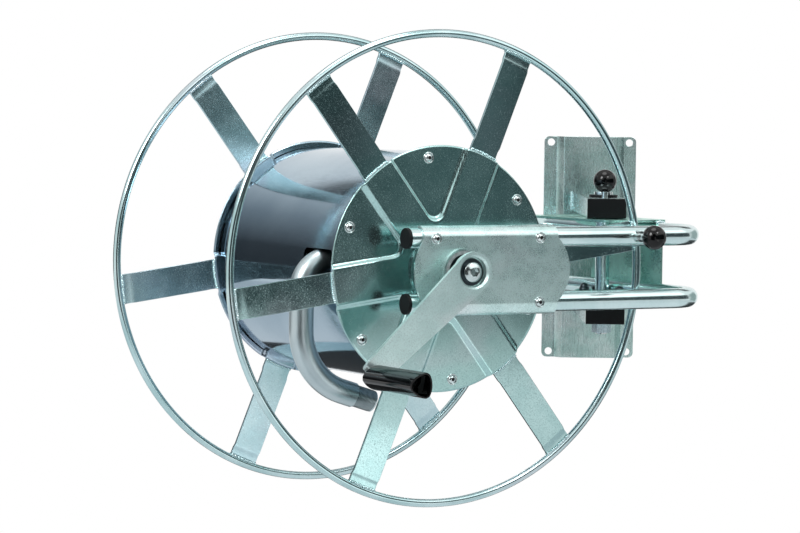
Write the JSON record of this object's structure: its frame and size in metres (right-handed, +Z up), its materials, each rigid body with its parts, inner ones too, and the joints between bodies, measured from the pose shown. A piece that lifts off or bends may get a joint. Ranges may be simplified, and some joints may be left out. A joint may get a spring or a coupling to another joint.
{
  "type": "wall mounted hose reel",
  "caption": "Manual water hose reel with open wheels and a hand crank, on a tube frame that swings on a wall bracket.",
  "frame": {"origin": "middle of the four wall bolt holes, on the back face of the wall plate", "axes": "+X along the wall to the right, +Y into the wall, +Z up"},
  "size_m": [0.7362, 0.8195, 0.58],
  "materials": {
    "zinc_sheet": "zinc plated, satin",
    "zinc_bright": "zinc plated, bright",
    "drum_steel": "rolled sheet, blue-grey",
    "stainless": "satin stainless",
    "fastener_steel": "bright plated",
    "dark_steel": "dark plated",
    "black_plastic": "matte black",
    "gloss_black": "gloss black",
    "bush_plastic": "natural bearing plastic",
    "brass": "turned",
    "seal_rubber": "black rubber"
  },
  "bodies": {
    "wall_bracket": {"wall_plate": "zinc_sheet", "upper_arm": "zinc_bright", "lower_arm": "zinc_bright", "arm_caps": "black_plastic", "pivot_bolt": "fastener_steel", "pivot_nut": "fastener_steel", "pivot_washer": "fastener_steel", "pivot_cover_ring": "black_plastic", "lock_pin_guide": "fastener_steel"},
    "swivel_frame": {"upper_tube": "zinc_bright", "lower_tube": "zinc_bright", "tube_plugs": "black_plastic", "swivel_bracket": "zinc_sheet", "pivot_tube": "zinc_bright", "thrust_washers": "bush_plastic", "flange_screws": "fastener_steel", "flange_nuts": "fastener_steel", "front_bearing_plate": "zinc_sheet", "rear_bearing_plate": "zinc_sheet", "front_bearing": "bush_plastic", "rear_bearing": "bush_plastic", "front_plate_screws": "fastener_steel", "rear_plate_screws": "fastener_steel", "drum_pin_guide": "fastener_steel"},
    "drum": {"front_ring": "zinc_bright", "rear_ring": "zinc_bright", "front_spokes": "zinc_sheet", "rear_spokes": "zinc_sheet", "front_disc": "zinc_sheet", "rear_disc": "zinc_sheet", "drum_sheet": "drum_steel", "drum_lugs": "zinc_bright", "front_land_screws": "fastener_steel", "rear_land_screws": "fastener_steel", "axle": "dark_steel", "front_hub": "zinc_bright", "rear_hub": "zinc_bright", "outlet_pipe": "stainless", "crank_arm": "zinc_sheet", "crank_washer": "dark_steel", "crank_bolt": "fastener_steel", "grip_clip": "fastener_steel", "inlet_seal": "seal_rubber"},
    "grip_sleeve": {"grip": "gloss_black"},
    "swivel_lock": {"swivel_pin": "fastener_steel", "swivel_knob": "gloss_black"},
    "drum_lock": {"drum_pin": "fastener_steel", "drum_knob": "gloss_black"},
    "inlet": {"inlet_elbow": "brass", "inlet_nut": "brass"}
  },
  "joints": [
    {"name": "frame_swing", "type": "hinge", "parent": "wall_bracket", "child": "swivel_frame", "pos_m": [0, -0.266, -0.004], "axis": [0, 0, 1], "range_deg": [-29, 121]},
    {"name": "drum_spin", "type": "hinge", "parent": "swivel_frame", "child": "drum", "pos_m": [-0.29475, -0.42938, -0.004], "axis": [0.4848, -0.8746, 0], "continuous": true},
    {"name": "grip_spin", "type": "hinge", "parent": "drum", "child": "grip_sleeve", "pos_m": [-0.27109, -0.75927, -0.12504], "axis": [0.4848, -0.8746, 0], "continuous": true},
    {"name": "inlet_turn", "type": "hinge", "parent": "swivel_frame", "child": "inlet", "pos_m": [-0.41149, -0.21877, -0.004], "axis": [0.4848, -0.8746, 0], "continuous": true},
    {"name": "swivel_lock_slide", "type": "slide", "parent": "wall_bracket", "child": "swivel_lock", "axis": [0, 0, 1], "range_m": [-0.004, 0]},
    {"name": "drum_lock_slide", "type": "slide", "parent": "swivel_frame", "child": "drum_lock", "axis": [0.4848, -0.8746, 0], "range_m": [-0.01, 0]}
  ]
}
